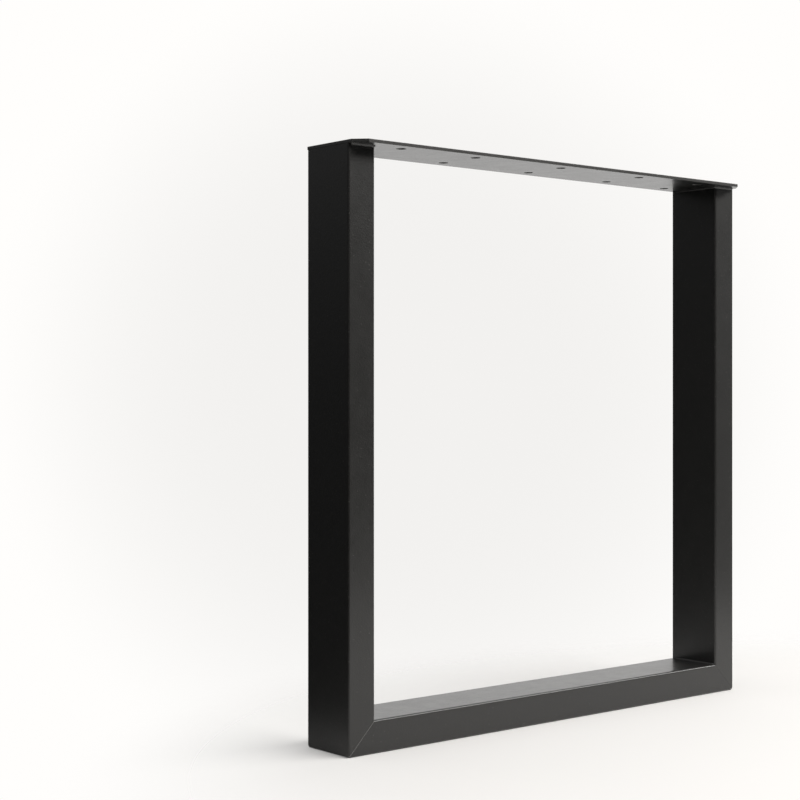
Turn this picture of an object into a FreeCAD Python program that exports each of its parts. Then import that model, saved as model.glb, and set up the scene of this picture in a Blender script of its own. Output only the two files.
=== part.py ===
import FreeCAD, Part
import os

import Sketcher

# Driving dimensions in millimetres: the name of the cell, its value and what it sizes.
DIMENSIONS = (
    ("leg_height", 720, "floor to the top of the plate"),
    ("leg_length", 700, "outer face to outer face of the uprights"),
    ("tube_width", 40, "narrow side of the tube, seen from the front"),
    ("tube_depth", 80, "wide side of the tube, front to back"),
    ("tube_wall", 2, "wall of the tube"),
    ("tube_inner_radius", 1, "corner radius inside the tube"),
    ("foot_radius", 4, "rounding ground on each bottom outer corner"),
    ("seam_depth", 0.5, "depth of the fine vee along each mitre line"),
    ("plate_thickness", 4, "thickness of the top plate"),
    ("plate_overhang", 20, "reach of the plate past the front of the tubes"),
    ("plate_corner_land", 5, "end edge between the front of the tubes and the corner cut"),
    ("plate_edge_radius", 0.5, "rounding of the plate's edges"),
    ("hole_diameter", 12, "holes for the screws into the table top"),
    ("hole_inset", 20, "row of holes to the nearer long edge of the plate"),
    ("hole_end_gap", 40, "outermost holes to the inner face of the upright"),
    ("hole_pitch", 120, "outermost holes to the next pair"),
    ("plate_bead_leg", 3, "leg of the fillet welds under the plate"),
    ("plate_bead_stop", 3, "plate weld's end to the rounding of the tube's corner"),
    ("corner_bead_leg", 2, "leg of the fillet welds in the bottom corners"),
)

MITRE_ANGLE = 45

# Sizes that follow from the driving dimensions.
TUBE_RADIUS = "(dims.tube_inner_radius + dims.tube_wall)"
UPRIGHT_X = "((dims.leg_length - dims.tube_width) / 2)"
PLATE_UNDERSIDE = "(dims.leg_height - dims.plate_thickness)"
PLATE_FRONT = "(-dims.tube_depth / 2 - dims.plate_overhang)"
PLATE_BACK = "(dims.tube_depth / 2)"
CORNER_CUT = "(dims.plate_overhang - dims.plate_corner_land)"
OUTER_HOLE_X = "(dims.leg_length / 2 - dims.tube_width - dims.hole_end_gap)"
INNER_HOLE_X = f"({OUTER_HOLE_X} - dims.hole_pitch)"
# How far a cut runs past the tube that it cuts.
OVERRUN = "dims.tube_width / 2"
# The corner's rounding meets the mitre this far in from the end of the leg and up from the floor.
TIP_INSET = f"dims.foot_radius * (1 - cos({MITRE_ANGLE}))"

# Radius of a weld's rounded face, as a multiple of its leg.
BEAD_ROUNDING = 1.5
# The two ends of the leg, along X.
LEFT, RIGHT = -1, 1
# The turn of an arc: an arc that goes the other way round has a turn of -1.
COUNTER_CLOCKWISE = 1
# How a sketch counts the points of a line, an arc or a circle, and names its own origin.
START, FINISH, MIDDLE = range(1, 4)
ORIGIN = -1, START


def make_sheet(doc):
    """Makes the table of driving dimensions."""
    sheet = doc.addObject("Spreadsheet::Sheet", "dims")
    for row, (alias, size, meaning) in enumerate(DIMENSIONS, start=1):
        sheet.set(f"A{row}", alias)
        sheet.set(f"B{row}", str(size))
        sheet.set(f"C{row}", meaning)
        sheet.setAlias(f"B{row}", alias)
    doc.recompute()
    return sheet


def size_of(expression):
    """Gives the number that an expression of the driving dimensions comes to."""
    return float(dims.evalExpression(expression))


def add_sketch(body, name, plane):
    """Starts a sketch on one of the body's own origin planes."""
    sketch = body.newObject("Sketcher::SketchObject", name)
    support = next(item for item in body.Origin.OriginFeatures if item.Role == plane)
    sketch.AttachmentSupport = [(support, "")]
    sketch.MapMode = "FlatFace"
    return sketch


def bind(sketch, kind, *where, to):
    """Adds a dimension to a sketch and ties it to an expression."""
    index = sketch.addConstraint(Sketcher.Constraint(kind, *where, size_of(to)))
    sketch.setExpression(f"Constraints[{index}]", to)


def pin(sketch, geometry, end, x, y):
    """Ties a point of the sketch to its distances from the sketch's origin."""
    bind(sketch, "DistanceX", *ORIGIN, geometry, end, to=x)
    bind(sketch, "DistanceY", *ORIGIN, geometry, end, to=y)


def arc_between(start, finish, radius, turn):
    """Makes the arc of less than a half circle from one point to another."""
    chord = finish - start
    half = chord.Length / 2
    outward = FreeCAD.Vector(chord.y, -chord.x, 0).normalize() * turn
    rise = radius - (radius**2 - half**2) ** 0.5
    return Part.Arc(start, start + chord / 2 + outward * rise, finish)


def outline(sketch, corners, closed=True):
    """Draws lines from corner to corner, and an arc from each corner that gives a radius and a turn."""
    points = [FreeCAD.Vector(size_of(x), size_of(y), 0) for x, y, *_ in corners]
    count = len(corners) if closed else len(corners) - 1
    starts, finishes = [], []
    for index in range(count):
        (x, y, *rounding), start, finish = corners[index], points[index], points[(index + 1) % len(points)]
        ends = START, FINISH
        if rounding:
            radius, turn = rounding
            run = sketch.addGeometry(arc_between(start, finish, size_of(radius), turn))
            bind(sketch, "Radius", run, to=radius)
            ends = ends if turn == COUNTER_CLOCKWISE else ends[::-1]
        else:
            run = sketch.addGeometry(Part.LineSegment(start, finish))
        starts.append((run, ends[0]))
        finishes.append((run, ends[1]))
        pin(sketch, *starts[-1], x, y)
    followers = starts[1:] + starts[:1] if closed else starts[1:]
    for finish, start in zip(finishes, followers):
        sketch.addConstraint(Sketcher.Constraint("Coincident", *finish, *start))
    if not closed:
        pin(sketch, *finishes[-1], *corners[-1])


def rounded_rectangle(sketch, half_width, half_height, middle, radius):
    """Draws a rectangle with round corners about a middle on the sketch's upright axis."""
    low, high = f"({middle} - {half_height})", f"({middle} + {half_height})"
    outline(sketch, [
        (f"{radius} - {half_width}", low),
        (f"{half_width} - {radius}", low, radius, COUNTER_CLOCKWISE),
        (half_width, f"{low} + {radius}"),
        (half_width, f"{high} - {radius}", radius, COUNTER_CLOCKWISE),
        (f"{half_width} - {radius}", high),
        (f"{radius} - {half_width}", high, radius, COUNTER_CLOCKWISE),
        (f"-{half_width}", f"{high} - {radius}"),
        (f"-{half_width}", f"{low} + {radius}", radius, COUNTER_CLOCKWISE),
    ])


def tube_section(sketch, width, height, middle):
    """Draws the outside and the inside of the rectangular tube."""
    rounded_rectangle(sketch, f"({width} / 2)", f"({height} / 2)", middle, TUBE_RADIUS)
    inner_width, inner_height = f"({width} / 2 - dims.tube_wall)", f"({height} / 2 - dims.tube_wall)"
    rounded_rectangle(sketch, inner_width, inner_height, middle, "dims.tube_inner_radius")


def pad(body, sketch, length, sides="One side"):
    """Raises a sketch into a solid."""
    feature = body.newObject("PartDesign::Pad", "pad")
    feature.Profile = sketch
    feature.SideType = sides
    feature.setExpression("Length", length)
    return feature


def cut_through(body, sketch):
    """Cuts a sketch through the whole body, both ways."""
    feature = body.newObject("PartDesign::Pocket", "cut")
    feature.Profile = sketch
    feature.Type = "ThroughAll"
    feature.SideType = "Symmetric"
    return feature


def cut_seam(body, side, corner_x):
    """Cuts the fine vee that shows along a mitre, on the front and the back face."""
    sketch = add_sketch(body, "seam", "XY_Plane")
    across_mitre = FreeCAD.Rotation(FreeCAD.Vector(0, 1, 0), -side * MITRE_ANGLE)
    sketch.AttachmentOffset = FreeCAD.Placement(FreeCAD.Vector(), across_mitre)
    sketch.setExpression("AttachmentOffset.Base.x", corner_x)
    # The cut is a square-cornered vee, carried as far outside the face as it goes into it.
    for face in (-1, 1):
        root = f"{face} * (dims.tube_depth / 2 - dims.seam_depth)"
        mouth = f"{face} * (dims.tube_depth / 2 + dims.seam_depth)"
        outline(sketch, [("0", root), ("2 * dims.seam_depth", mouth), ("-2 * dims.seam_depth", mouth)])
    cut_through(body, sketch)


def make_upright(doc, name, side):
    """Makes an upright about the middle line of its tube, standing on the floor."""
    body = doc.addObject("PartDesign::Body", name)
    body.setExpression("Placement.Base.x", f"{side} * {UPRIGHT_X}")
    section = add_sketch(body, "section", "XY_Plane")
    tube_section(section, "dims.tube_width", "dims.tube_depth", "0")
    pad(body, section, PLATE_UNDERSIDE)

    # The foot is cut on the mitre, and its outer tip is rounded.
    outer = f"{side} * dims.tube_width / 2"
    outside = f"{side} * (dims.tube_width / 2 + {OVERRUN})"
    inside = f"-{side} * (dims.tube_width / 2 + {OVERRUN})"
    foot = add_sketch(body, "foot", "XZ_Plane")
    outline(foot, [
        (outside, "dims.foot_radius"),
        (outer, "dims.foot_radius", "dims.foot_radius", -side),
        (f"{side} * (dims.tube_width / 2 - {TIP_INSET})", TIP_INSET),
        (inside, f"dims.tube_width + {OVERRUN}"),
        (inside, f"-{OVERRUN}"),
        (outside, f"-{OVERRUN}"),
    ])
    cut_through(body, foot)
    cut_seam(body, side, outer)
    return body


def make_floor_rail(doc):
    """Makes the rail along the floor, mitred at both ends."""
    body = doc.addObject("PartDesign::Body", "floor_rail")
    section = add_sketch(body, "section", "YZ_Plane")
    tube_section(section, "dims.tube_depth", "dims.tube_width", "dims.tube_width / 2")
    pad(body, section, "dims.leg_length", "Symmetric")

    # Each end is cut on the mitre, and its outer tip is rounded.
    above, below = f"dims.tube_width + {OVERRUN}", f"-{OVERRUN}"
    ends = add_sketch(body, "ends", "XZ_Plane")
    for side in (LEFT, RIGHT):
        round_start = f"{side} * (dims.leg_length / 2 - dims.foot_radius)"
        outside = f"{side} * (dims.leg_length / 2 + {OVERRUN})"
        outline(ends, [
            (round_start, below),
            (round_start, "0", "dims.foot_radius", side),
            (f"{side} * (dims.leg_length / 2 - {TIP_INSET})", TIP_INSET),
            (f"{side} * (dims.leg_length / 2 - dims.tube_width - {OVERRUN})", above),
            (outside, above),
            (outside, below),
        ])
    cut_through(body, ends)
    for side in (LEFT, RIGHT):
        cut_seam(body, side, f"{side} * dims.leg_length / 2")
    return body


def make_top_plate(doc):
    """Makes the plate that the table top is screwed to."""
    body = doc.addObject("PartDesign::Body", "top_plate")
    body.setExpression("Placement.Base.z", PLATE_UNDERSIDE)
    blank = add_sketch(body, "blank", "XY_Plane")
    end, cut_end = "dims.leg_length / 2", f"(dims.leg_length / 2 - {CORNER_CUT})"
    land = "-dims.tube_depth / 2 - dims.plate_corner_land"
    outline(blank, [
        (f"-{end}", PLATE_BACK),
        (f"-{end}", land),
        (f"-{cut_end}", PLATE_FRONT),
        (cut_end, PLATE_FRONT),
        (end, land),
        (end, PLATE_BACK),
    ])
    pad(body, blank, "dims.plate_thickness")

    holes = add_sketch(body, "holes", "XY_Plane")
    rows = f"{PLATE_FRONT} + dims.hole_inset", f"{PLATE_BACK} - dims.hole_inset"
    for x in (f"-{OUTER_HOLE_X}", f"-{INNER_HOLE_X}", "0", INNER_HOLE_X, OUTER_HOLE_X):
        for y in rows:
            middle = FreeCAD.Vector(size_of(x), size_of(y), 0)
            ring = Part.Circle(middle, FreeCAD.Vector(0, 0, 1), size_of("dims.hole_diameter / 2"))
            hole = holes.addGeometry(ring)
            pin(holes, hole, MIDDLE, x, y)
            bind(holes, "Diameter", hole, to="dims.hole_diameter")
    drilled = cut_through(body, holes)

    doc.recompute()
    edges = [f"Edge{number}" for number, edge in enumerate(drilled.Shape.Edges, start=1)
             if isinstance(edge.Curve, Part.Line)]
    rounding = body.newObject("PartDesign::Fillet", "rounding")
    rounding.Base = (drilled, edges)
    rounding.setExpression("Radius", "dims.plate_edge_radius")
    return body


def bead_outline(sketch, corner, along_x, along_y, leg, turn):
    """Draws a fillet weld's section: two legs from the corner and a rounded face between their ends."""
    x, y = corner
    outline(sketch, [
        (x, y),
        (f"{x} + {along_x} * {leg}", y, f"{BEAD_ROUNDING} * {leg}", turn),
        (x, f"{y} + {along_y} * {leg}"),
    ])


def make_plate_weld(doc, name, side):
    """Makes the weld under the plate, along the front and the inner face of an upright."""
    body = doc.addObject("PartDesign::Body", name)
    body.setExpression("Placement.Base.x", f"{side} * {UPRIGHT_X}")
    body.setExpression("Placement.Base.z", PLATE_UNDERSIDE)
    front, stop = "-dims.tube_depth / 2", f"({TUBE_RADIUS} + dims.plate_bead_stop)"
    start_x = f"{side} * (dims.tube_width / 2 - {stop})"
    run = add_sketch(body, "run", "XY_Plane")
    outline(run, [
        (start_x, front),
        (f"-{side} * (dims.tube_width / 2 - {TUBE_RADIUS})", front, TUBE_RADIUS, -side),
        (f"-{side} * dims.tube_width / 2", f"{front} + {TUBE_RADIUS}"),
        (f"-{side} * dims.tube_width / 2", f"dims.tube_depth / 2 - {stop}"),
    ], closed=False)

    section = add_sketch(body, "section", "YZ_Plane")
    section.setExpression("AttachmentOffset.Base.z", start_x)
    bead_outline(section, (front, "0"), -1, -1, "dims.plate_bead_leg", COUNTER_CLOCKWISE)
    bead = body.newObject("PartDesign::AdditivePipe", "bead")
    bead.Profile = section
    bead.Spine = run
    return body


def make_corner_weld(doc, name, side):
    """Makes the weld in the corner between the rail's top and the upright's inner face."""
    body = doc.addObject("PartDesign::Body", name)
    body.setExpression("Placement.Base.x", f"{side} * {UPRIGHT_X}")
    section = add_sketch(body, "section", "XZ_Plane")
    corner = f"-{side} * dims.tube_width / 2", "dims.tube_width"
    bead_outline(section, corner, -side, 1, "dims.corner_bead_leg", -side)
    pad(body, section, f"dims.tube_depth - 2 * {TUBE_RADIUS}", "Symmetric")
    return body


def check(doc, bodies):
    """Stops the build where a feature failed, a cut missed or a piece isn't one sound solid."""
    for item in doc.Objects:
        if {"Invalid", "Error"} & set(item.State):
            raise RuntimeError(f"{item.Label} failed to build: {item.State}")
        if item.TypeId == "PartDesign::Pocket" and item.Shape.Volume >= item.BaseFeature.Shape.Volume:
            raise RuntimeError(f"{item.Label} cuts nothing")
    for body in bodies:
        if body.Shape.isNull() or not body.Shape.isValid() or len(body.Shape.Solids) != 1:
            raise RuntimeError(f"{body.Label} is not one sound solid")


document = FreeCAD.newDocument("table_leg")
dims = make_sheet(document)
pieces = [
    make_upright(document, "left_upright", LEFT),
    make_upright(document, "right_upright", RIGHT),
    make_floor_rail(document),
    make_top_plate(document),
    make_plate_weld(document, "left_plate_weld", LEFT),
    make_plate_weld(document, "right_plate_weld", RIGHT),
    make_corner_weld(document, "left_corner_weld", LEFT),
    make_corner_weld(document, "right_corner_weld", RIGHT),
]
document.recompute()
check(document, pieces)
os.makedirs("parts", exist_ok=True)
for piece in pieces:
    piece.Shape.exportStep(f"parts/{piece.Label}.step")
    print(piece.Label, f"{piece.Shape.Volume:.1f} mm3")
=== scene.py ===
import math

import bmesh
import bpy
from bpy.props import FloatProperty, FloatVectorProperty, IntProperty, PointerProperty
from bpy.types import Operator, Panel, PropertyGroup
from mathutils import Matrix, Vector


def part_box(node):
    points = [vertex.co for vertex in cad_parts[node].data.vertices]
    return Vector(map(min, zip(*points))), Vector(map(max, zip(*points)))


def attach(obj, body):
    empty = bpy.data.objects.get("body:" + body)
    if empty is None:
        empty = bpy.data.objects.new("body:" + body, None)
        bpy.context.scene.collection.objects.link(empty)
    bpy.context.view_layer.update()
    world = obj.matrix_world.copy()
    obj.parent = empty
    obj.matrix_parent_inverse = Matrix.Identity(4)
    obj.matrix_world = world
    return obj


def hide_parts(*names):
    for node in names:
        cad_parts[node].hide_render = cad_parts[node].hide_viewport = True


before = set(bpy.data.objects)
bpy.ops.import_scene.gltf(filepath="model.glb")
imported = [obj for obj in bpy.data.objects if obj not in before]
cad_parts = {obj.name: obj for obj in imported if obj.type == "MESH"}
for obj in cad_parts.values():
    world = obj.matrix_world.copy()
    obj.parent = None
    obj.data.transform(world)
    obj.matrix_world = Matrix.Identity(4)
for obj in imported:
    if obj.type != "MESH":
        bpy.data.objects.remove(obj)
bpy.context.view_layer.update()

bl_info = {
    "name": "U-shaped Table Leg",
    "version": (1, 0, 0),
    "blender": (4, 5, 0),
    "location": "View3D > Sidebar > Table Leg",
    "description": "Builds a mitred tube leg with a drilled top plate, weld beads and a black coat",
    "category": "Add Mesh",
}

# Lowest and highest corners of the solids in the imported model, in metres.
upright_low, upright_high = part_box("left_upright")
rail_low, rail_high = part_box("floor_rail")
plate_low, plate_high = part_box("top_plate")
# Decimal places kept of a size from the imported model: a tenth of a micron.
FRAME_DECIMALS = 7

BODY = "root"
SIDES = (("left", -1), ("right", 1))
# Value stored where a painted highlight pales the coat: over the mitres and on the plate's cut edges.
PAINTED_HIGHLIGHT = "seam"
# Values that a drawing holds only until its node tree has run.
DRAWING_VALUES = ("inner", "outer", "groove", "drilled")
# Faces that meet at less than this are shaded as one round surface.
SMOOTH_ANGLE = math.radians(32)

# Plate: faces round each hole, and the distance in metres within which two points are one.
HOLE_FACES = 48
SAME_POINT = 1e-5

# Weld beads: points round the bend of a path, along one ripple and across the face.
BEND_POINTS = 6
RIPPLE_POINTS = 6
FACE_POINTS = 9
# How much flatter than a quarter round the face is, and how far the ripples lean across it.
FACE_FLATTENING = 0.117
RIPPLE_LEAN = 0.3
# Shares of the leg that are left at a bead's very end and at its slimmest place.
END_SHARE = 0.3
SLIM_SHARE = 0.82
# Slow unevenness along a bead: its scale to the metre, and the band of the noise that is used.
UNEVEN_SCALE = 160.0
UNEVEN_BAND = (0.25, 0.75)

# Powder coat: refraction of its body and of its smooth skin.
BODY_IOR = 1.38
SKIN_IOR = 1.5
# Weight of the fine grain in the bump, and of the cured ripple in the drift of the sheen.
GRAIN_WEIGHT = 0.35
RIPPLE_WEIGHT = 0.35
# Drift of the sheen: its scale to the metre, the band of it that is used, and what it changes.
DRIFT_SCALE = 40.0
DRIFT_BAND = (0.40, 0.95)
ROUGHNESS_SPREAD = 0.06
TONE_SPREAD = 0.15
# Draw of a speck, from one that is too faint to show to one of full strength.
SPECK_BAND = (0.35, 1.0)

# Camera: width of its sensor in millimetres.
SENSOR_WIDTH = 36.0
# Lights: their colour, and each panel's place, the point it faces, its width and its height, in metres.
LAMP_COLOUR = (1.0, 0.985, 0.96)
SIDE_PANEL = ((2.3, -2.8, 3.15), (1.2, 0.0, 0.35), 6.0, 1.0)
TOP_PANEL = ((-0.1, -0.3, 3.3), (0.0, 0.0, 0.0), 2.8, 2.8)
# Floor: its radius and the faces round its rim, and the pool of it that shows before it fades out.
FLOOR_RADIUS = 5.0
FLOOR_FACES = 96
POOL_CENTRE = (0.2, -0.5, 0.0)
POOL_FADE = (0.60, 1.05)
# Room: the rise of a direction over which it brightens to the ceiling's level.
CEILING_BAND = (0.06, 0.22)
# Fields of the room: how far a direction agrees with a field's middle at its rim and where it is full.
DARK_MIDDLE = (0.5, -0.866, 0.0)
DARK_BAND = (0.1, 0.8)
DARK_LEVEL = 0.2
SCREEN_TURN = math.radians(28)
SCREEN_BAND = (0.47, 0.94)
BACKDROP_BAND = (0.968, 0.998)
BACKDROP_RIM = (1.0, 0.99, 0.975, 1.0)
WHITE = (1.0, 1.0, 1.0, 1.0)


def from_frame(size):
    """Rounds off the single-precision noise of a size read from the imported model."""
    return round(size, FRAME_DECIMALS)


def length_property(name, description, default):
    """Makes a property for a length in metres."""
    return FloatProperty(name=name, description=description, default=default, min=0.0,
                         precision=5, unit="LENGTH")


def share_property(name, description, default):
    """Makes a property for a share, from none to all."""
    return FloatProperty(name=name, description=description, default=default, min=0.0, max=1.0,
                         subtype="FACTOR")


def colour_property(name, description, default):
    """Makes a property for a colour."""
    return FloatVectorProperty(name=name, description=description, default=default, min=0.0, max=1.0,
                               size=3, subtype="COLOR")


class TableLegFrame(PropertyGroup):
    """Sizes of the tube frame."""

    length: length_property(
        "Length", "Outer face to outer face of the uprights", from_frame(-2 * upright_low.x))
    height: length_property(
        "Height", "Floor to the tops of the uprights", from_frame(upright_high.z))
    width: length_property(
        "Tube width", "Narrow side of the tube, seen from the front", from_frame(rail_high.z))
    depth: length_property(
        "Tube depth", "Wide side of the tube, front to back", from_frame(rail_high.y - rail_low.y))
    edge_radius: length_property("Edge radius", "Rounding of the tube's long edges", 0.003)
    foot_radius: length_property("Foot radius", "Rounding of each bottom outer corner", 0.004)
    seam_width: length_property("Seam width", "Width of the fine vee along each mitre line", 0.001)
    seam_depth: length_property("Seam depth", "Depth of the fine vee along each mitre line", 0.0003)
    seam_shift: length_property(
        "Seam shift", "Mitre to the vee's deepest line, towards the rail", 0.0003)
    # Painted highlight: these shares pale the coat along each mitre line, full on the left mitre where
    # light catches it and faint on the right.
    left_mitre_highlight: share_property("Left seam", "How far the coat thins over the left mitre", 1.0)
    right_mitre_highlight: share_property("Right seam", "How far the coat thins over the right mitre", 0.1)
    steps: IntProperty(
        name="Rounding steps", description="Faces across each rounding", default=8, min=2)


class TableLegPlate(PropertyGroup):
    """Sizes of the top plate."""

    length: length_property(
        "Length", "End to end of the plate", from_frame(plate_high.x - plate_low.x))
    front: FloatProperty(
        name="Front edge", description="Place of the front edge along Y",
        default=from_frame(plate_low.y), precision=5, unit="LENGTH")
    back: FloatProperty(
        name="Back edge", description="Place of the back edge along Y",
        default=from_frame(plate_high.y), precision=5, unit="LENGTH")
    underside: length_property(
        "Underside", "Height of the underside above the floor", from_frame(plate_low.z))
    thickness: length_property(
        "Thickness", "Thickness of the plate", from_frame(plate_high.z - plate_low.z))
    corner_cut: length_property("Corner cut", "Length cut off each front corner", 0.015)
    edge_radius: length_property("Edge radius", "Rounding of the edges under the coat", 0.0005)
    corner_radius: length_property("Corner radius", "Blunting of the outline's corners", 0.0008)
    steps: IntProperty(
        name="Rounding steps", description="Faces across each rounding", default=4, min=2)
    # Painted highlight: the share of pale coat colour on the cut edges, lifting them as the light they
    # catch would.
    edge_thin: share_property("Thin edges", "How far the coat thins on the cut edges", 0.13)
    hole_diameter: length_property("Hole diameter", "Holes for the screws into the top", 0.012)
    hole_inset: length_property("Hole inset", "Row of holes to the nearer long edge", 0.020)
    inner_holes: length_property("Inner holes", "Middle of the plate to the inner holes", 0.150)
    outer_holes: length_property("Outer holes", "Middle of the plate to the outer holes", 0.270)


class TableLegWelds(PropertyGroup):
    """Sizes of the weld beads."""

    plate_leg: length_property("Plate bead", "Leg of the beads under the plate", 0.0026)
    plate_stop: length_property(
        "Plate bead stop", "Bead's end to the rounding of the tube's corner", 0.0)
    corner_leg: length_property("Corner bead", "Leg of the beads in the bottom corners", 0.002)
    pitch: length_property("Ripple pitch", "Distance from one ripple to the next", 0.0026)
    ripple: length_property("Ripple depth", "Depth between two ripples", 0.00035)
    run_out: length_property("Run-out", "Length over which a bead's end tapers", 0.0025)
    seed: IntProperty(name="Seed", description="Picks the unevenness of the beads", default=4)


class TableLegCoat(PropertyGroup):
    """Look of the powder coat."""

    colour: colour_property("Colour", "Body colour of the coat", (0.0108, 0.0104, 0.0096))
    speck_colour: colour_property("Speck colour", "Colour of the pale specks", (0.050, 0.049, 0.046))
    # Painted highlight: the pale colour laid along the mitres and on the plate's cut edges.
    highlight_colour: colour_property(
        "Thin colour", "Colour of the coat where it runs thin", (0.20, 0.197, 0.19))
    roughness: share_property("Roughness", "Middle of the coat's roughness", 0.46)
    gloss: share_property("Gloss", "Share of the smooth skin over the coat", 0.72)
    skin_roughness: share_property("Skin roughness", "Roughness of the smooth skin", 0.24)
    peel_size: length_property("Texture size", "Width of the coat's cured ripples", 0.0018)
    peel_depth: length_property("Texture depth", "Height of the coat's cured ripples", 0.00020)
    grain_size: length_property("Grain size", "Width of the powder's fine grain", 0.0007)
    speck_size: length_property("Speck size", "Radius of the pale specks", 0.0009)
    speck_pitch: length_property("Speck pitch", "Distance from one pale speck to the next", 0.006)


class TableLegStage(PropertyGroup):
    """Camera, floor and light."""

    camera: FloatVectorProperty(
        name="Camera", description="Place of the camera", default=(-1.55272, -1.56870, 0.42825),
        size=3, subtype="TRANSLATION", unit="LENGTH")
    turn: FloatProperty(
        name="Camera turn", description="Camera's turn to the right of +Y", subtype="ANGLE",
        default=math.radians(39.96))
    lens: FloatProperty(
        name="Lens", description="Focal length on a 36 mm sensor, in millimetres",
        default=75.317, min=1.0, unit="CAMERA")
    rise: FloatProperty(
        name="Camera shift", description="Vertical shift of the picture, as a share of its width",
        default=-0.0122)
    floor_colour: colour_property("Floor", "Colour of the floor", (0.90, 0.89, 0.88))
    backdrop_colour: colour_property(
        "Backdrop", "Colour of the backdrop behind the leg", (0.89, 0.88, 0.865))
    side_power: FloatProperty(
        name="Side light", description="Power of the soft light on the right", subtype="POWER",
        default=260.0, min=0.0)
    top_power: FloatProperty(
        name="Top light", description="Power of the soft light overhead", subtype="POWER",
        default=20.0, min=0.0)
    horizon_level: FloatProperty(
        name="Room level", description="Brightness of the room round the stage", default=0.035, min=0.0)
    dome_level: FloatProperty(
        name="Ceiling level", description="Brightness of the room overhead", default=0.28, min=0.0)


# Node trees


def add_node(tree, kind, inputs=None, **settings):
    """Adds a node, applies its settings, and links or fills its inputs."""
    node = tree.nodes.new(kind)
    for name, value in settings.items():
        setattr(node, name, value)
    for key, value in (inputs or {}).items():
        if isinstance(value, bpy.types.NodeSocket):
            tree.links.new(value, node.inputs[key])
        else:
            node.inputs[key].default_value = value
    return node


def maths(tree, operation, *terms, use_clamp=False):
    """Adds one sum on numbers and gives its result."""
    node = add_node(
        tree, "ShaderNodeMath", dict(enumerate(terms)), operation=operation, use_clamp=use_clamp)
    return node.outputs["Value"]


def vector_maths(tree, operation, *terms):
    """Adds one sum on vectors and gives its result as a vector."""
    node = add_node(tree, "ShaderNodeVectorMath", dict(enumerate(terms)), operation=operation)
    return node.outputs["Vector"]


def scale_vector(tree, vector, factor):
    """Adds a node that stretches a vector."""
    node = add_node(tree, "ShaderNodeVectorMath", {0: vector, "Scale": factor}, operation="SCALE")
    return node.outputs["Vector"]


def dot_product(tree, first, second):
    """Adds a node that gives how far two directions agree."""
    node = add_node(tree, "ShaderNodeVectorMath", {0: first, 1: second}, operation="DOT_PRODUCT")
    return node.outputs["Value"]


def split(tree, vector):
    """Adds a node that gives a vector's three numbers."""
    return add_node(tree, "ShaderNodeSeparateXYZ", {0: vector}).outputs


def upward(tree, height):
    """Adds a node that gives a vector straight up of that height."""
    return add_node(tree, "ShaderNodeCombineXYZ", {"Z": height}).outputs["Vector"]


def ease(tree, value, low, high, first=0.0, last=1.0):
    """Adds a smooth step from one level to another."""
    node = add_node(tree, "ShaderNodeMapRange", {
        "Value": value, "From Min": low, "From Max": high, "To Min": first, "To Max": last,
    }, interpolation_type="SMOOTHSTEP")
    return node.outputs["Result"]


def mix_colours(tree, share, first, second):
    """Adds a mix of two colours and gives the result."""
    # The mixer has a set of like-named sockets for each kind of value: these are the colours'.
    node = add_node(tree, "ShaderNodeMix", {0: share, 6: first, 7: second}, data_type="RGBA")
    return node.outputs[2]


def noise(tree, place, scale, detail, **more):
    """Adds a cloudy pattern, moved along by W where that is given, and gives its level."""
    inputs = {"Vector": place, "Scale": scale, "Detail": detail, **more}
    node = add_node(
        tree, "ShaderNodeTexNoise", inputs, noise_dimensions="4D" if "W" in more else "3D")
    return node.outputs["Fac"]


def named_attribute(tree, name, kind):
    """Adds a node that reads what the drawing stores at its points."""
    node = add_node(tree, "GeometryNodeInputNamedAttribute", {"Name": name}, data_type=kind)
    return node.outputs["Attribute"]


def capture(tree, geometry, **fields):
    """Keeps the values of fields at a curve's points, and gives the curve and those values."""
    node = add_node(tree, "GeometryNodeCaptureAttribute", {"Geometry": geometry}, domain="POINT")
    for name, (kind, socket) in fields.items():
        node.capture_items.new(kind, name)
        tree.links.new(socket, node.inputs[name])
    return node.outputs["Geometry"], {name: node.outputs[name] for name in fields}


def new_tree(name, **sizes):
    """Starts a geometry node tree with one named input for each size."""
    tree = bpy.data.node_groups.new(name, "GeometryNodeTree")
    tree.interface.new_socket("Geometry", in_out="INPUT", socket_type="NodeSocketGeometry")
    tree.interface.new_socket("Geometry", in_out="OUTPUT", socket_type="NodeSocketGeometry")
    kinds = {float: "NodeSocketFloat", int: "NodeSocketInt", Vector: "NodeSocketVector"}
    for size, value in sizes.items():
        tree.interface.new_socket(size, in_out="INPUT", socket_type=kinds[type(value)])
    return tree, tree.nodes.new("NodeGroupInput").outputs


def end_tree(tree, geometry, coat):
    """Ends a tree: instances made real, and the coat put on."""
    real = add_node(tree, "GeometryNodeRealizeInstances", {"Geometry": geometry}).outputs["Geometry"]
    coated = add_node(tree, "GeometryNodeSetMaterial", {"Geometry": real, "Material": coat})
    add_node(tree, "NodeGroupOutput", {"Geometry": coated.outputs["Geometry"]})


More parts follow.
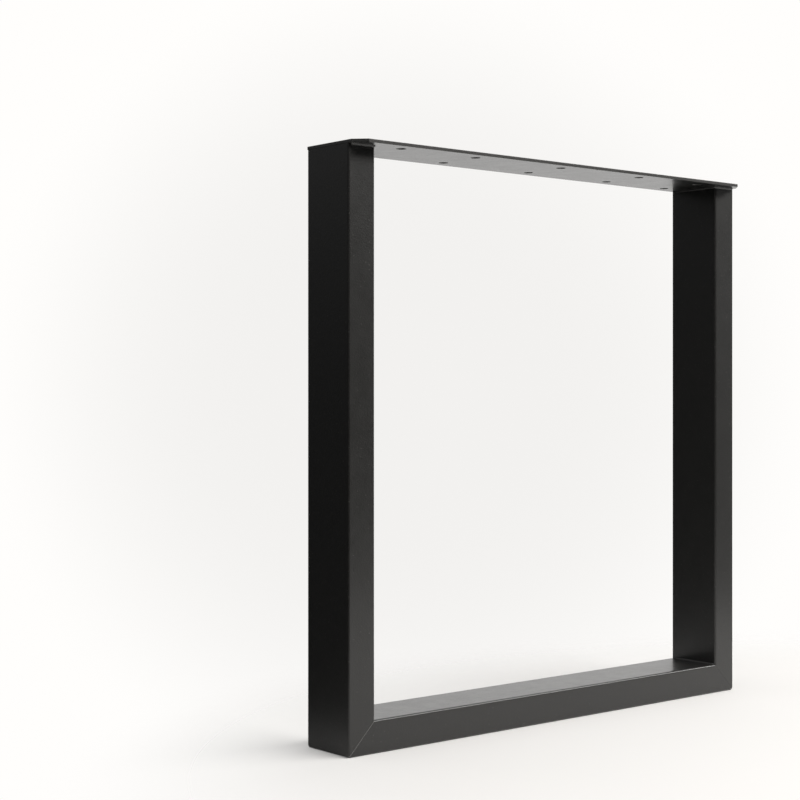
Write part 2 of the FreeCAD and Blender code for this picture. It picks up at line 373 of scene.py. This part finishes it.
def frame_tree(coat, **sizes):
    """Sweeps the tube's rounded section along stations that each give an inner and an outer edge."""
    tree, given = new_tree("Mitred tube frame", **sizes)
    path = add_node(tree, "GeometryNodeMeshToCurve", {"Mesh": given["Geometry"]}).outputs["Curve"]
    blank = add_node(tree, "GeometryNodeCurvePrimitiveQuadrilateral", {
        "Width": given["width"], "Height": given["depth"]})
    section = add_node(tree, "GeometryNodeFilletCurve", {
        "Curve": blank.outputs["Curve"], "Count": given["steps"], "Radius": given["edge_radius"],
    }, mode="POLY")
    place = add_node(tree, "GeometryNodeInputPosition").outputs["Position"]
    section, kept = capture(tree, section.outputs["Curve"], spot=("VECTOR", place))
    swept = add_node(tree, "GeometryNodeCurveToMesh", {
        "Curve": path, "Profile Curve": section, "Fill Caps": True})

    spot = split(tree, kept["spot"])
    share = maths(tree, "ADD", maths(tree, "DIVIDE", spot["X"], given["width"]), 0.5)
    inner = named_attribute(tree, "inner", "FLOAT_VECTOR")
    outer = named_attribute(tree, "outer", "FLOAT_VECTOR")
    across = vector_maths(tree, "SUBTRACT", outer, inner)
    line = vector_maths(tree, "ADD", inner, scale_vector(tree, across, share))
    reach = maths(tree, "SUBTRACT", maths(tree, "MULTIPLY", given["depth"], 0.5),
                  named_attribute(tree, "groove", "FLOAT"))
    back_off = maths(tree, "MULTIPLY", reach, -1.0)
    held = add_node(tree, "ShaderNodeClamp", {"Value": spot["Y"], "Min": back_off, "Max": reach})
    depth = add_node(tree, "ShaderNodeCombineXYZ", {"Y": held.outputs["Result"]}).outputs["Vector"]
    shaped = add_node(tree, "GeometryNodeSetPosition", {
        "Geometry": swept.outputs["Mesh"], "Position": vector_maths(tree, "ADD", line, depth)})
    end_tree(tree, shaped.outputs["Geometry"], coat)
    return tree


def plate_tree(coat, **sizes):
    """Cuts a plate with rounded edges from its outline, and drills each loose point of the drawing."""
    tree, given = new_tree("Drilled plate", **sizes)
    drawn = add_node(tree, "GeometryNodeMeshToCurve", {"Mesh": given["Geometry"]}).outputs["Curve"]
    outline = add_node(tree, "GeometryNodeFilletCurve", {
        "Curve": drawn, "Count": given["steps"], "Radius": given["corner_radius"]}, mode="POLY")
    centres = add_node(tree, "GeometryNodeMeshToPoints", {
        "Mesh": given["Geometry"], "Selection": named_attribute(tree, "drilled", "BOOLEAN")})
    ring = add_node(tree, "GeometryNodeCurvePrimitiveCircle", {
        "Resolution": HOLE_FACES, "Radius": maths(tree, "MULTIPLY", given["hole_diameter"], 0.5)})
    ring = add_node(tree, "GeometryNodeReverseCurve", {"Curve": ring.outputs["Curve"]})
    rings = add_node(tree, "GeometryNodeInstanceOnPoints", {
        "Points": centres.outputs["Points"], "Instance": ring.outputs["Curve"]})
    drilled = add_node(tree, "GeometryNodeRealizeInstances", {"Geometry": rings.outputs["Instances"]})
    lines = add_node(tree, "GeometryNodeJoinGeometry", {"Geometry": outline.outputs["Curve"]})
    tree.links.new(drilled.outputs["Geometry"], lines.inputs["Geometry"])

    # Every line runs with the metal on its left, so one rule leads into the metal.
    along = add_node(tree, "GeometryNodeInputTangent").outputs["Tangent"]
    place = add_node(tree, "GeometryNodeInputPosition").outputs["Position"]
    lines, kept = capture(
        tree, lines.outputs["Geometry"], place=("VECTOR", place),
        inward=("VECTOR", vector_maths(tree, "CROSS_PRODUCT", (0.0, 0.0, 1.0), along)))

    # The wall's section is one end of a rounded bar, as high as the plate.
    bar = add_node(tree, "GeometryNodeCurvePrimitiveQuadrilateral", {
        "Width": given["thickness"], "Height": given["thickness"]})
    bar = add_node(tree, "GeometryNodeFilletCurve", {
        "Curve": bar.outputs["Curve"], "Count": given["steps"], "Radius": given["edge_radius"],
    }, mode="POLY")
    far_end = maths(tree, "GREATER_THAN", split(tree, place)["X"], 0.0)
    wall = add_node(tree, "GeometryNodeDeleteGeometry", {
        "Geometry": bar.outputs["Curve"], "Selection": far_end}, domain="POINT")
    wall = add_node(tree, "GeometryNodeSetSplineCyclic", {
        "Geometry": wall.outputs["Geometry"], "Cyclic": False})
    section, edge = capture(tree, wall.outputs["Geometry"], spot=("VECTOR", place))
    swept = add_node(tree, "GeometryNodeCurveToMesh", {"Curve": lines, "Profile Curve": section})
    half = maths(tree, "MULTIPLY", given["thickness"], 0.5)
    spot = split(tree, edge["spot"])
    inset = scale_vector(tree, kept["inward"], maths(tree, "ADD", spot["X"], half))
    height = upward(tree, maths(tree, "ADD", spot["Y"], half))
    stood = vector_maths(tree, "ADD", vector_maths(tree, "ADD", kept["place"], inset), height)
    walls = add_node(tree, "GeometryNodeSetPosition", {
        "Geometry": swept.outputs["Mesh"], "Position": stood})
    # Painted highlight: the walls are marked to get pale coat colour in place of the light they catch.
    walls = add_node(tree, "GeometryNodeStoreNamedAttribute", {
        "Geometry": walls.outputs["Geometry"], "Name": PAINTED_HIGHLIGHT, "Value": given["edge_thin"],
    }, data_type="FLOAT", domain="FACE")

    # The two flat faces reach from rounding to rounding.
    rims = add_node(tree, "GeometryNodeSetPosition", {
        "Geometry": lines, "Offset": scale_vector(tree, kept["inward"], given["edge_radius"])})
    under = add_node(tree, "GeometryNodeFillCurve", {"Curve": rims.outputs["Geometry"]}, mode="NGONS")
    over = add_node(tree, "GeometryNodeSetPosition", {
        "Geometry": under.outputs["Mesh"], "Offset": upward(tree, given["thickness"])})
    shell = add_node(tree, "GeometryNodeJoinGeometry", {"Geometry": walls.outputs["Geometry"]})
    for face in (under.outputs["Mesh"], over.outputs["Geometry"]):
        tree.links.new(face, shell.inputs["Geometry"])
    closed = add_node(tree, "GeometryNodeMergeByDistance", {
        "Geometry": shell.outputs["Geometry"], "Distance": SAME_POINT})
    placed = add_node(tree, "GeometryNodeSetPosition", {
        "Geometry": closed.outputs["Geometry"], "Offset": upward(tree, given["underside"])})
    end_tree(tree, placed.outputs["Geometry"], coat)
    return tree


def bead_tree(coat, **sizes):
    """Lays a rippled fillet bead along a drawn path, away from the tube and to one side of it."""
    tree, given = new_tree("Weld bead", **sizes)
    path = add_node(tree, "GeometryNodeMeshToCurve", {"Mesh": given["Geometry"]}).outputs["Curve"]
    path = add_node(tree, "GeometryNodeFilletCurve", {
        "Curve": path, "Count": BEND_POINTS, "Radius": given["path_radius"], "Limit Radius": True,
    }, mode="POLY")
    path = add_node(tree, "GeometryNodeResampleCurve", {
        "Curve": path.outputs["Curve"], "Length": maths(tree, "DIVIDE", given["pitch"], RIPPLE_POINTS),
    }, mode="LENGTH")
    place = add_node(tree, "GeometryNodeInputPosition").outputs["Position"]
    path, kept = capture(
        tree, path.outputs["Curve"],
        place=("VECTOR", place),
        along=("VECTOR", add_node(tree, "GeometryNodeInputTangent").outputs["Tangent"]),
        run=("FLOAT", add_node(tree, "GeometryNodeSplineParameter").outputs["Length"]),
        total=("FLOAT", add_node(tree, "GeometryNodeSplineLength").outputs["Length"]))
    arc = add_node(tree, "GeometryNodeCurveArc", {
        "Resolution": FACE_POINTS, "Radius": 1.0, "Start Angle": 0.0, "Sweep Angle": math.pi / 2,
        "Connect Center": True,
    }, mode="RADIUS")
    section, face = capture(tree, arc.outputs["Curve"], spot=("VECTOR", place))
    swept = add_node(tree, "GeometryNodeCurveToMesh", {
        "Curve": path, "Profile Curve": section, "Fill Caps": True})

    # The bead stands out from the tube, whichever way its path was drawn.
    sideways = vector_maths(tree, "CROSS_PRODUCT", kept["along"], (0.0, 0.0, 1.0))
    from_tube = vector_maths(tree, "SUBTRACT", kept["place"], given["tube_centre"])
    outward = scale_vector(tree, sideways, maths(tree, "SIGN", dot_product(tree, sideways, from_tube)))

    # Ripples, a slow unevenness and tapered ends set how far the face stands from the corner.
    spot = split(tree, face["spot"])
    bulge = maths(tree, "MULTIPLY", maths(tree, "MULTIPLY", spot["X"], spot["Y"]), 2.0)
    flattened = maths(tree, "MULTIPLY_ADD", bulge, -FACE_FLATTENING, 1.0)
    beats = maths(tree, "DIVIDE", kept["run"], given["pitch"])
    leaning = maths(tree, "MULTIPLY_ADD", bulge, RIPPLE_LEAN, beats)
    scallop = maths(tree, "ABSOLUTE", maths(tree, "SINE", maths(tree, "MULTIPLY", leaning, math.pi)))
    dip = maths(tree, "MULTIPLY", maths(tree, "SUBTRACT", 1.0, scallop), given["ripple"])
    level = noise(tree, kept["place"], UNEVEN_SCALE, detail=1.0, W=given["seed"])
    uneven = ease(tree, level, *UNEVEN_BAND, SLIM_SHARE, 1.0)
    to_go = maths(tree, "SUBTRACT", kept["total"], kept["run"])
    to_end = maths(tree, "MINIMUM", kept["run"], to_go)
    grown = maths(tree, "DIVIDE", to_end, given["run_out"], use_clamp=True)
    missing = maths(tree, "SUBTRACT", 1.0, grown)
    squared = maths(tree, "MULTIPLY", missing, missing)
    rounded = maths(tree, "SQRT", maths(tree, "SUBTRACT", 1.0, squared))
    taper = maths(tree, "MULTIPLY_ADD", rounded, 1.0 - END_SHARE, END_SHARE)
    full = maths(tree, "SUBTRACT", maths(tree, "MULTIPLY", given["leg"], uneven), dip)
    reach = maths(tree, "MULTIPLY", maths(tree, "MULTIPLY", full, flattened), taper)
    out = scale_vector(tree, outward, maths(tree, "MULTIPLY", reach, spot["X"]))
    stand = maths(tree, "MULTIPLY", maths(tree, "MULTIPLY", reach, spot["Y"]), given["rise"])
    ends = vector_maths(tree, "ADD", vector_maths(tree, "ADD", kept["place"], out), upward(tree, stand))
    shaped = add_node(tree, "GeometryNodeSetPosition", {
        "Geometry": swept.outputs["Mesh"], "Position": ends})
    end_tree(tree, shaped.outputs["Geometry"], coat)
    return tree


# Drawings and meshes


def new_object(name, points, edges, **values):
    """Makes an object from a drawing of points and edges, with values stored at its points."""
    mesh = bpy.data.meshes.new(name)
    mesh.from_pydata(points, edges, [])
    for value, (kind, field, numbers) in values.items():
        attribute = mesh.attributes.new(value, kind, "POINT")
        attribute.data.foreach_set(field, numbers)
    piece = bpy.data.objects.new(name, mesh)
    bpy.context.scene.collection.objects.link(piece)
    return piece


def settle(piece):
    """Turns the piece's modifiers into plain mesh and takes them off."""
    graph = bpy.context.evaluated_depsgraph_get()
    drawing = piece.data
    mesh = bpy.data.meshes.new_from_object(
        piece.evaluated_get(graph), preserve_all_data_layers=True, depsgraph=graph)
    piece.modifiers.clear()
    piece.data = mesh
    bpy.data.meshes.remove(drawing)
    mesh.name = piece.name


def build(piece, tree, **sizes):
    """Runs a node tree on a drawing and leaves the result as a plain mesh, facing outwards."""
    modifier = piece.modifiers.new("Build", "NODES")
    modifier.node_group = tree
    for item in tree.interface.items_tree:
        if item.in_out == "INPUT" and item.name in sizes:
            modifier[item.identifier] = sizes[item.name]
    settle(piece)
    mesh = piece.data
    for name in DRAWING_VALUES:
        if name in mesh.attributes:
            mesh.attributes.remove(mesh.attributes[name])
    shape = bmesh.new()
    shape.from_mesh(mesh)
    bmesh.ops.recalc_face_normals(shape, faces=shape.faces)
    open_edges = sum(len(edge.link_faces) != 2 for edge in shape.edges)
    if not shape.faces or open_edges:
        raise RuntimeError(f"{piece.name} is not one closed shape: {open_edges} open edges")
    shape.to_mesh(mesh)
    shape.free()


def smooth(piece):
    """Shades the piece's curved faces smoothly and keeps its flat faces flat."""
    piece.data.shade_smooth()
    piece.data.set_sharp_from_angle(angle=SMOOTH_ANGLE)
    weighted = piece.modifiers.new("Flat faces", "WEIGHTED_NORMAL")
    weighted.keep_sharp = True
    settle(piece)


def dress(piece, *nodes):
    """Hangs a finished piece on the model's body and hides the solids that it stands for."""
    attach(piece, BODY)
    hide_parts(*nodes)


def foot_stations(sizes, side):
    """Gives the stations round a foot, from upright to rail: inner edge, outer edge, groove."""
    end, radius, width = sizes.length / 2, sizes.foot_radius, sizes.width
    seam_turn = math.asin(sizes.seam_width / 2 / radius)
    seam_run = sizes.seam_width / math.sqrt(2)
    mitre = math.pi / 4
    half = [(mitre - seam_turn) * step / sizes.steps for step in range(sizes.steps + 1)]
    stations = []
    for turn in half:
        rise = seam_run + radius * (1 - turn / half[-1])
        stations.append((turn, (end - width, width + rise), 0.0))
    shift = sizes.seam_shift / math.sqrt(2)
    deepest = mitre + math.asin(sizes.seam_shift / radius)
    stations.append((deepest, (end - width - shift, width - shift), sizes.seam_depth))
    for turn in reversed(half):
        run = seam_run + radius * (1 - turn / half[-1])
        stations.append((2 * mitre - turn, (end - width - run, width), 0.0))
    return [
        (Vector((side * x, 0.0, z)),
         Vector((side * (end - radius + radius * math.cos(turn)), 0.0,
                 radius - radius * math.sin(turn))),
         groove)
        for turn, (x, z), groove in stations
    ]


# Finish


def black_coat(finish):
    """Gives the satin black powder coat, made on first use."""
    name = "black_powder_coat"
    if name in bpy.data.materials:
        return bpy.data.materials[name]
    coat = bpy.data.materials.new(name)
    coat.use_nodes = True
    tree = coat.node_tree
    shader = tree.nodes["Principled BSDF"]
    for socket, value in (
        ("IOR", BODY_IOR), ("Coat Weight", finish.gloss),
        ("Coat Roughness", finish.skin_roughness), ("Coat IOR", SKIN_IOR),
    ):
        shader.inputs[socket].default_value = value
    place = add_node(tree, "ShaderNodeTexCoord").outputs["Object"]

    # The cured ripple and the powder's fine grain stand up as bump.
    peel = noise(tree, place, 1 / finish.peel_size, detail=2.0)
    grain = noise(tree, place, 1 / finish.grain_size, detail=1.0)
    height = maths(tree, "MULTIPLY_ADD", grain, GRAIN_WEIGHT, peel)
    bump = add_node(tree, "ShaderNodeBump", {
        "Strength": 1.0, "Distance": finish.peel_depth, "Height": height})
    tree.links.new(bump.outputs["Normal"], shader.inputs["Normal"])

    # The sheen drifts slowly over the surface and with the ripple.
    cloud = noise(tree, place, DRIFT_SCALE, detail=4.0, Roughness=0.7)
    drift = maths(tree, "MULTIPLY_ADD", peel, RIPPLE_WEIGHT, cloud)
    rough = add_node(tree, "ShaderNodeMapRange", {
        "Value": drift, "From Min": DRIFT_BAND[0], "From Max": DRIFT_BAND[1],
        "To Min": finish.roughness - ROUGHNESS_SPREAD, "To Max": finish.roughness + ROUGHNESS_SPREAD})
    tree.links.new(rough.outputs["Result"], shader.inputs["Roughness"])
    darker, lighter = (
        (*(channel * level for channel in finish.colour), 1.0)
        for level in (1.0 - TONE_SPREAD, 1.0 + TONE_SPREAD))
    tone = mix_colours(tree, drift, darker, lighter)

    # Pale specks of every strength lie in the coat.
    cells = add_node(tree, "ShaderNodeTexVoronoi", {"Vector": place, "Scale": 1 / finish.speck_pitch})
    edge = finish.speck_size / finish.speck_pitch
    near = ease(tree, cells.outputs["Distance"], edge / 2, edge, 1.0, 0.0)
    picked = ease(tree, split(tree, cells.outputs["Color"])["X"], *SPECK_BAND)
    speck = maths(tree, "MULTIPLY", near, picked)
    dusted = mix_colours(tree, speck, tone, (*finish.speck_colour, 1.0))

    # Painted highlight: the coat is painted paler along the mitres and the plate's cut edges, in place
    # of the light caught there.
    highlight_share = add_node(tree, "ShaderNodeAttribute", attribute_name=PAINTED_HIGHLIGHT).outputs["Fac"]
    highlighted = mix_colours(tree, highlight_share, dusted, (*finish.highlight_colour, 1.0))
    tree.links.new(highlighted, shader.inputs["Base Color"])
    return coat


# Stage


def add_light(name, power, place, aim, width, height):
    """Hangs one soft light panel that faces a point."""
    lamp = bpy.data.lights.new(name, "AREA")
    lamp.shape, lamp.size, lamp.size_y = "RECTANGLE", width, height
    lamp.energy, lamp.color = power, LAMP_COLOUR
    light = bpy.data.objects.new(name, lamp)
    light.location = place
    light.rotation_euler = (Vector(aim) - Vector(place)).to_track_quat("-Z", "Y").to_euler()
    bpy.context.scene.collection.objects.link(light)


def pale_floor(setup):
    """Makes a floor that fades into the backdrop away from the leg."""
    shape = bmesh.new()
    bmesh.ops.create_circle(shape, cap_ends=True, segments=FLOOR_FACES, radius=FLOOR_RADIUS)
    mesh = bpy.data.meshes.new("studio_floor")
    shape.to_mesh(mesh)
    shape.free()
    paint = bpy.data.materials.new("pale_floor")
    paint.use_nodes = True
    tree = paint.node_tree
    tree.nodes.remove(tree.nodes["Principled BSDF"])
    place = add_node(tree, "ShaderNodeTexCoord").outputs["Object"]
    away = add_node(tree, "ShaderNodeVectorMath", {
        0: place, 1: POOL_CENTRE}, operation="DISTANCE").outputs["Value"]
    matt = add_node(tree, "ShaderNodeBsdfDiffuse", {"Color": (*setup.floor_colour, 1.0)})
    clear = add_node(tree, "ShaderNodeBsdfTransparent")
    faded = add_node(tree, "ShaderNodeMixShader", {
        0: ease(tree, away, *POOL_FADE), 1: matt.outputs["BSDF"], 2: clear.outputs["BSDF"]})
    tree.links.new(faded.outputs["Shader"], tree.nodes["Material Output"].inputs["Surface"])
    mesh.materials.append(paint)
    floor = bpy.data.objects.new("studio_floor", mesh)
    bpy.context.scene.collection.objects.link(floor)


def studio_world(setup):
    """Lights the room softly, with a white backdrop for the camera and for reflections."""
    world = bpy.data.worlds.new("studio")
    bpy.context.scene.world = world
    world.use_nodes = True
    tree = world.node_tree
    tree.nodes.remove(tree.nodes["Background"])
    ray = add_node(tree, "ShaderNodeTexCoord").outputs["Generated"]
    up = split(tree, ray)["Z"]
    room = ease(tree, up, *CEILING_BAND, setup.horizon_level, setup.dome_level)
    # The room is darker in front of the leg.
    dimmed = ease(tree, dot_product(tree, ray, DARK_MIDDLE), *DARK_BAND, 1.0, DARK_LEVEL)
    room = maths(tree, "MULTIPLY", room, dimmed)
    # A white screen stands behind the leg and to the right.
    aside = setup.turn + SCREEN_TURN
    screen_middle = (math.sin(aside), math.cos(aside), 0.0)
    screen = ease(tree, dot_product(tree, ray, screen_middle), *SCREEN_BAND)
    studio = add_node(tree, "ShaderNodeBackground", {
        "Color": WHITE, "Strength": maths(tree, "MAXIMUM", room, screen)})
    # The backdrop is a little darker behind the leg than at the picture's rim.
    ahead = (math.sin(setup.turn), math.cos(setup.turn), 0.0)
    middle = ease(tree, dot_product(tree, ray, ahead), *BACKDROP_BAND)
    tint = mix_colours(tree, middle, BACKDROP_RIM, (*setup.backdrop_colour, 1.0))
    seen = add_node(tree, "ShaderNodeBackground", {"Color": tint, "Strength": 1.0})
    path = add_node(tree, "ShaderNodeLightPath").outputs
    mirrored = maths(tree, "MAXIMUM", path["Is Glossy Ray"], path["Is Transmission Ray"])
    shown = maths(
        tree, "MAXIMUM", path["Is Camera Ray"], maths(tree, "MULTIPLY", mirrored, screen))
    mixed = add_node(tree, "ShaderNodeMixShader", {
        0: shown, 1: studio.outputs["Background"], 2: seen.outputs["Background"]})
    tree.links.new(mixed.outputs["Shader"], tree.nodes["World Output"].inputs["Surface"])


# Operators and panel


class TABLE_LEG_OT_frame(Operator):
    """Build the two uprights and the floor rail as one mitred, coated tube frame"""

    bl_idname = "table_leg.frame"
    bl_label = "Tube Frame"

    def execute(self, context):
        sizes, coat = context.scene.table_leg_frame, black_coat(context.scene.table_leg_coat)
        tops = [
            (Vector((side * (sizes.length / 2 - sizes.width), 0.0, sizes.height)),
             Vector((side * sizes.length / 2, 0.0, sizes.height)), 0.0)
            for _, side in SIDES
        ]
        stations = [tops[0], *foot_stations(sizes, -1), *reversed(foot_stations(sizes, 1)), tops[1]]
        inner, outer, groove = zip(*stations)
        # Painted highlight: the stations in each mitre's vee get a share of pale coat colour, strong on
        # the left and faint on the right.
        highlight_share = [
            (sizes.left_mitre_highlight if edge.x < 0 else sizes.right_mitre_highlight) if depth else 0.0
            for edge, depth in zip(inner, groove)
        ]
        piece = new_object(
            "tube_frame",
            [(first + second) / 2 for first, second in zip(inner, outer)],
            [(index, index + 1) for index in range(len(stations) - 1)],
            inner=("FLOAT_VECTOR", "vector", [number for point in inner for number in point]),
            outer=("FLOAT_VECTOR", "vector", [number for point in outer for number in point]),
            groove=("FLOAT", "value", groove),
            **{PAINTED_HIGHLIGHT: ("FLOAT", "value", highlight_share)})
        given = {name: getattr(sizes, name) for name in ("width", "depth", "edge_radius", "steps")}
        build(piece, frame_tree(coat, **given), **given)
        smooth(piece)
        dress(piece, "left_upright", "right_upright", "floor_rail")
        return {"FINISHED"}


class TABLE_LEG_OT_plate(Operator):
    """Build the top plate with its cut front corners and screw holes"""

    bl_idname = "table_leg.plate"
    bl_label = "Top Plate"

    def execute(self, context):
        sizes, coat = context.scene.table_leg_plate, black_coat(context.scene.table_leg_coat)
        end, cut = sizes.length / 2, sizes.corner_cut
        outline = [
            (-end, sizes.back), (-end, sizes.front + cut), (cut - end, sizes.front),
            (end - cut, sizes.front), (end, sizes.front + cut), (end, sizes.back),
        ]
        columns = (-sizes.outer_holes, -sizes.inner_holes, 0.0, sizes.inner_holes, sizes.outer_holes)
        rows = (sizes.front + sizes.hole_inset, sizes.back - sizes.hole_inset)
        holes = [(x, y) for x in columns for y in rows]
        corners = range(len(outline))
        piece = new_object(
            "top_mounting_plate",
            [(x, y, 0.0) for x, y in (*outline, *holes)],
            [(index, (index + 1) % len(outline)) for index in corners],
            drilled=("BOOLEAN", "value", [False] * len(outline) + [True] * len(holes)))
        given = {name: getattr(sizes, name) for name in (
            "thickness", "hole_diameter", "underside", "edge_radius", "corner_radius", "steps",
            "edge_thin")}
        build(piece, plate_tree(coat, **given), **given)
        smooth(piece)
        dress(piece, "top_plate")
        return {"FINISHED"}


class TABLE_LEG_OT_welds(Operator):
    """Lay the weld beads under the plate and in the bottom corners"""

    bl_idname = "table_leg.welds"
    bl_label = "Weld Beads"

    def execute(self, context):
        scene = context.scene
        tube, welds = scene.table_leg_frame, scene.table_leg_welds
        coat = black_coat(scene.table_leg_coat)
        front = -tube.depth / 2
        stop = tube.edge_radius + welds.plate_stop
        shared = {name: getattr(welds, name) for name in ("pitch", "ripple", "run_out")}
        shared["path_radius"] = tube.edge_radius
        tree = None
        for word, side in SIDES:
            outside, inside = side * tube.length / 2, side * (tube.length / 2 - tube.width)
            centre = Vector(((outside + inside) / 2, 0.0, 0.0))
            under_plate = [
                (outside - side * stop, front, tube.height),
                (inside, front, tube.height),
                (inside, -front - stop, tube.height),
            ]
            reach = tube.depth / 2 - tube.edge_radius
            in_corner = [(inside, -reach, tube.width), (inside, reach, tube.width)]
            for place, path, leg, rise in (
                ("plate", under_plate, welds.plate_leg, -1.0),
                ("corner", in_corner, welds.corner_leg, 1.0),
            ):
                given = dict(
                    shared, leg=leg, rise=rise, tube_centre=centre, seed=float(welds.seed + side))
                tree = tree or bead_tree(coat, **given)
                edges = [(index, index + 1) for index in range(len(path) - 1)]
                piece = new_object(f"{word}_{place}_bead", path, edges)
                build(piece, tree, **given)
                smooth(piece)
                dress(piece, f"{word}_{place}_weld")
        return {"FINISHED"}


class TABLE_LEG_OT_stage(Operator):
    """Set up the camera, the pale floor, the backdrop and the soft lights"""

    bl_idname = "table_leg.stage"
    bl_label = "Stage"

    def execute(self, context):
        scene, setup = context.scene, context.scene.table_leg_stage
        scene.view_settings.view_transform = "Standard"
        view = bpy.data.cameras.new("camera")
        view.sensor_width, view.lens, view.shift_y = SENSOR_WIDTH, setup.lens, setup.rise
        camera = bpy.data.objects.new("camera", view)
        camera.location = setup.camera
        camera.rotation_euler = (math.pi / 2, 0.0, -setup.turn)
        scene.collection.objects.link(camera)
        scene.camera = camera
        pale_floor(setup)
        studio_world(setup)
        add_light("side_light", setup.side_power, *SIDE_PANEL)
        add_light("top_light", setup.top_power, *TOP_PANEL)
        return {"FINISHED"}


class TABLE_LEG_PT_sidebar(Panel):
    """Lists the leg's pieces and their settings"""

    bl_idname = "TABLE_LEG_PT_sidebar"
    bl_label = "Table Leg"
    bl_space_type = "VIEW_3D"
    bl_region_type = "UI"
    bl_category = "Table Leg"

    def draw(self, context):
        for operator, groups in STEPS:
            box = self.layout.box()
            for group in groups:
                settings = getattr(context.scene, group)
                for name in settings.__annotations__:
                    box.prop(settings, name)
            box.operator(operator.bl_idname)


GROUPS = {
    "table_leg_frame": TableLegFrame,
    "table_leg_plate": TableLegPlate,
    "table_leg_welds": TableLegWelds,
    "table_leg_coat": TableLegCoat,
    "table_leg_stage": TableLegStage,
}
STEPS = (
    (TABLE_LEG_OT_frame, ("table_leg_frame", "table_leg_coat")),
    (TABLE_LEG_OT_plate, ("table_leg_plate",)),
    (TABLE_LEG_OT_welds, ("table_leg_welds",)),
    (TABLE_LEG_OT_stage, ("table_leg_stage",)),
)
CLASSES = (*GROUPS.values(), *(operator for operator, _ in STEPS), TABLE_LEG_PT_sidebar)


def register():
    """Registers the classes and hangs the settings on the scene."""
    for item in CLASSES:
        bpy.utils.register_class(item)
    for name, group in GROUPS.items():
        setattr(bpy.types.Scene, name, PointerProperty(type=group))


def unregister():
    """Takes the settings and the classes away again."""
    for name in GROUPS:
        delattr(bpy.types.Scene, name)
    for item in reversed(CLASSES):
        bpy.utils.unregister_class(item)


def main():
    """Builds the leg and its stage."""
    register()
    bpy.ops.table_leg.frame()
    bpy.ops.table_leg.plate()
    bpy.ops.table_leg.welds()
    bpy.ops.table_leg.stage()


if __name__ == "__main__":
    main()
